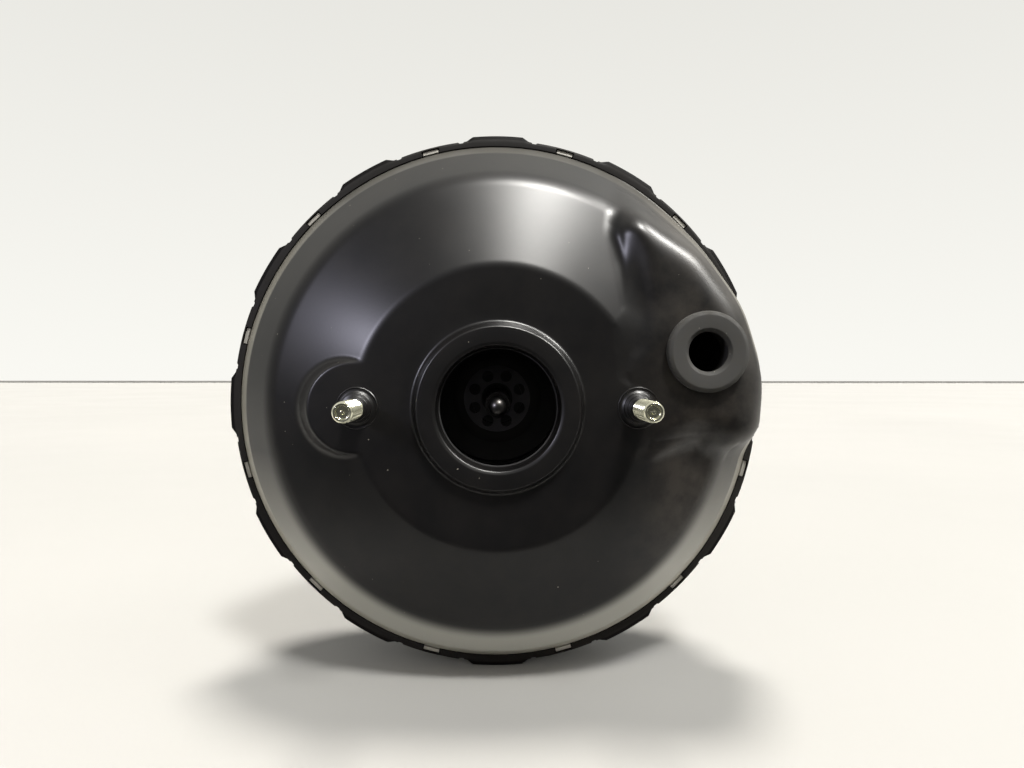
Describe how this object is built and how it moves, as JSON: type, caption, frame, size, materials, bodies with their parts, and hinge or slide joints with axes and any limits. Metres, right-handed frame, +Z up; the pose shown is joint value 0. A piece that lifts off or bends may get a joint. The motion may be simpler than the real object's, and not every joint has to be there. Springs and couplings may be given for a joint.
{
  "type": "vacuum brake booster",
  "caption": "Round black vacuum servo between brake pedal and master cylinder, with sprung diaphragm piston, push rods, studs and vacuum port.",
  "frame": {"origin": "on the booster's axis, in the plane of the front plateau, inside the pilot bore", "axes": "-Y out of the pilot bore towards the master cylinder, +Y to the firewall and pedal, +Z up"},
  "size_m": [0.24, 0.2697, 0.24],
  "materials": {
    "shell_coating": "semi-gloss black electrophoretic coat on pressed steel",
    "zinc_plated_steel": "bright zinc plate, slightly yellow",
    "bare_steel": "turned or pressed steel, lightly oiled",
    "spring_steel": "drawn spring wire, phosphated",
    "phosphated_steel": "grey-black phosphate on pressed steel",
    "grommet_rubber": "dusty matte black rubber",
    "seal_rubber": "matte black rubber",
    "diaphragm_rubber": "fabric-backed black rubber",
    "phenolic": "moulded glass-filled phenolic",
    "pale_polymer": "pale grey moulded polymer",
    "bearing_polymer": "natural white polyamide",
    "filter_foam": "open-cell foam",
    "felt": "pressed wool felt"
  },
  "bodies": {
    "housing": {"front_shell": "shell_coating", "rear_shell": "shell_coating", "front_reinforcement_plate": "phosphated_steel", "spring_seat": "phosphated_steel", "master_cylinder_studs": "zinc_plated_steel", "vacuum_grommet": "grommet_rubber", "firewall_studs": "zinc_plated_steel", "rear_reinforcement_plate": "phosphated_steel", "seal_retainer": "bare_steel", "neck_seal": "seal_rubber", "neck_bearing": "bearing_polymer", "return_spring": "spring_steel", "diaphragm": "diaphragm_rubber", "dust_boot": "seal_rubber"},
    "power_piston": {"valve_body": "phenolic", "diaphragm_plate": "phosphated_steel", "rod_retainer": "pale_polymer", "output_push_rod": "phosphated_steel", "rod_tip_screw": "bare_steel", "reaction_disc": "seal_rubber", "stop_key": "bare_steel", "poppet_valve": "seal_rubber", "poppet_retainer": "bare_steel", "poppet_spring": "spring_steel", "input_rod_spring": "spring_steel", "air_filter": "filter_foam", "silencer_felt": "felt", "filter_cap": "phenolic"},
    "valve_plunger": {"air_valve_plunger": "bare_steel"},
    "input_rod": {"input_push_rod": "zinc_plated_steel", "spring_washer": "bare_steel", "lock_nut": "zinc_plated_steel", "clevis": "zinc_plated_steel"}
  },
  "joints": [
    {"name": "power_stroke", "type": "slide", "parent": "housing", "child": "power_piston", "axis": [0, -1, 0], "range_m": [0, 0.032], "stiffness_N_per_m": 3000, "springref_m": -0.03, "deforming": ["return_spring", "diaphragm", "dust_boot"]},
    {"name": "valve_travel", "type": "slide", "parent": "power_piston", "child": "valve_plunger", "axis": [0, -1, 0], "range_m": [0, 0.002], "stiffness_N_per_m": 2500, "springref_m": -0.012, "deforming": ["input_rod_spring"]},
    {"name": "input_rod_tilt", "type": "hinge", "parent": "valve_plunger", "child": "input_rod", "pos_m": [0, 0.115, 0], "axis": [1, 0, 0], "range_deg": [-2.5, 2.5]}
  ]
}
